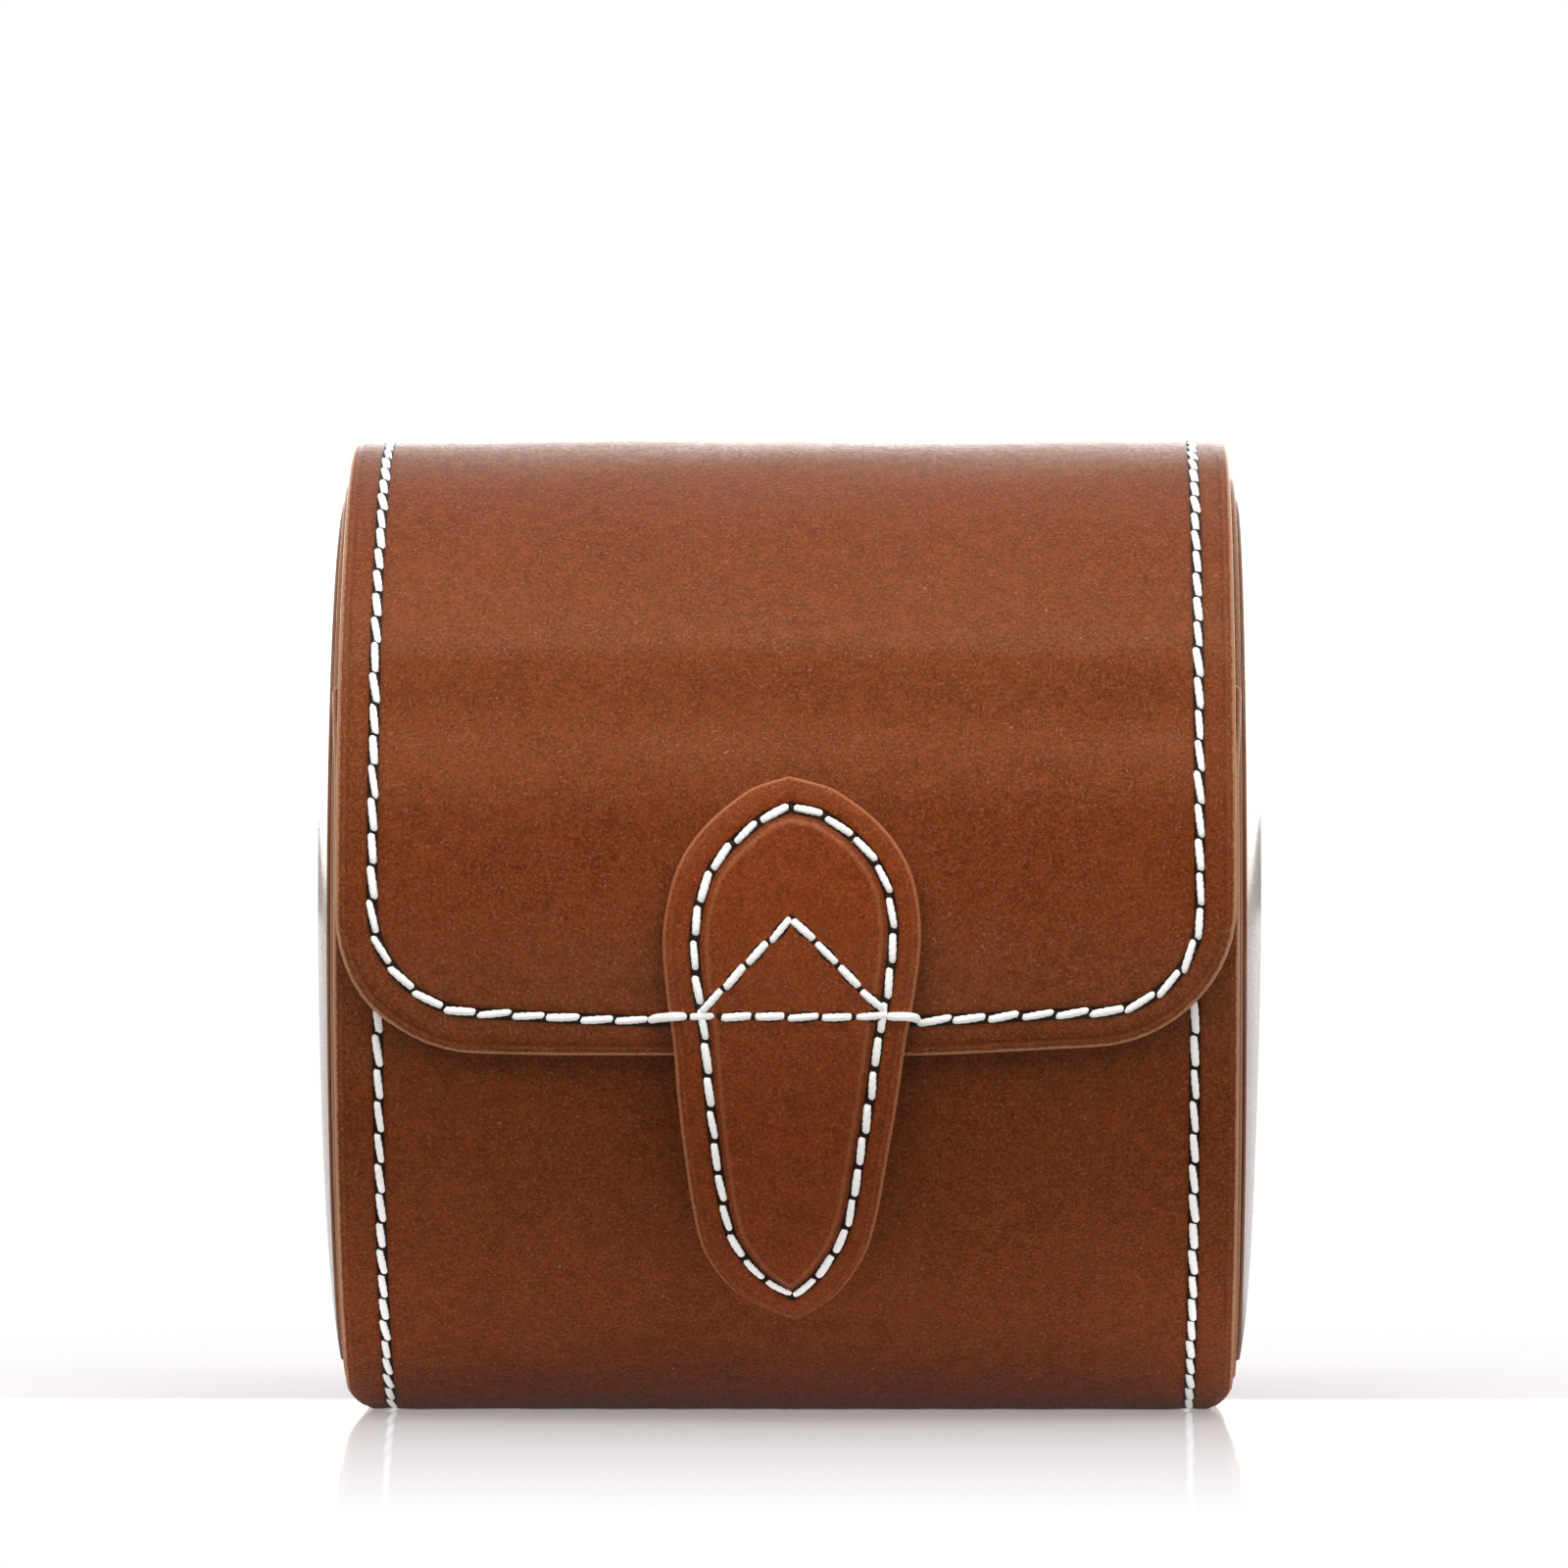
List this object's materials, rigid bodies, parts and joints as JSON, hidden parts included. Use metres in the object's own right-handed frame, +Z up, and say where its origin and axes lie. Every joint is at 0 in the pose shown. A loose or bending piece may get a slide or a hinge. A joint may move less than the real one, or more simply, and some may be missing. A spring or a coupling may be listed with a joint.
{
  "type": "watch roll",
  "caption": "Leather drum-shaped watch roll with saddle stitching, a hinged flap, a pointed closing tab with a snap, domed ends and a removable cushion.",
  "frame": {"origin": "middle of the flat sole that the roll stands on", "axes": "+X along the drum to the right seen from the front, -Y to the front with the tab, +Z up"},
  "size_m": [0.0926, 0.1032, 0.0955],
  "materials": {
    "wrap_leather": "smooth satin tan leather",
    "flap_leather": "smooth satin tan leather",
    "tab_leather": "smooth satin tan leather, padded",
    "end_leather": "smooth leather, darker at the edges",
    "thread": "waxed white thread",
    "suede": "brown suede lining",
    "board": "dense grey board",
    "foam": "pale padding",
    "snap_metal": "satin nickel"
  },
  "bodies": {
    "roll": {"wrap_leather": "wrap_leather", "wrap_board": "board", "wrap_lining": "suede", "end_board_left": "board", "end_board_right": "board", "end_rim_left": "end_leather", "end_rim_right": "end_leather", "end_lining_left": "suede", "end_lining_right": "suede", "end_panel_left": "end_leather", "end_panel_right": "end_leather", "end_padding_left": "foam", "end_padding_right": "foam", "wrap_thread_front_left": "thread", "wrap_thread_front_right": "thread", "wrap_thread_back_left": "thread", "wrap_thread_back_right": "thread", "snap_socket": "snap_metal", "snap_socket_washer": "snap_metal"},
    "flap": {"flap_leather": "flap_leather", "flap_board": "board", "flap_lining": "suede", "flap_thread_left": "thread", "flap_thread_right": "thread", "tab_leather_fixed": "tab_leather", "tab_core_fixed": "foam", "tab_backing_fixed": "suede", "tab_thread_fixed": "thread", "tab_chevron_thread": "thread", "tab_cross_thread": "thread"},
    "tab": {"tab_leather_free": "tab_leather", "tab_core_free": "foam", "tab_backing_free": "suede", "tab_thread_free": "thread", "snap_stud": "snap_metal", "snap_stud_washer": "snap_metal"},
    "cushion": {"cushion_foam": "foam", "cushion_cover": "suede", "cushion_end_left": "suede", "cushion_end_right": "suede"}
  },
  "joints": [
    {"name": "flap_hinge", "type": "hinge", "parent": "roll", "child": "flap", "pos_m": [0, 0.03634, 0.0777], "axis": [-1, 0, 0], "range_deg": [0, 140]},
    {"name": "tab_flex", "type": "hinge", "parent": "flap", "child": "tab", "pos_m": [0, -0.05238, 0.03406], "axis": [-1, 0, 0], "range_deg": [0, 60]},
    {"name": "cushion_lift", "type": "slide", "parent": "roll", "child": "cushion", "axis": [0, 0, 1], "range_m": [0, 0.076]}
  ],
  "couplings": [
    {"joint": "cushion_lift", "follows": "flap_hinge", "m_per_rad": 0.031}
  ]
}
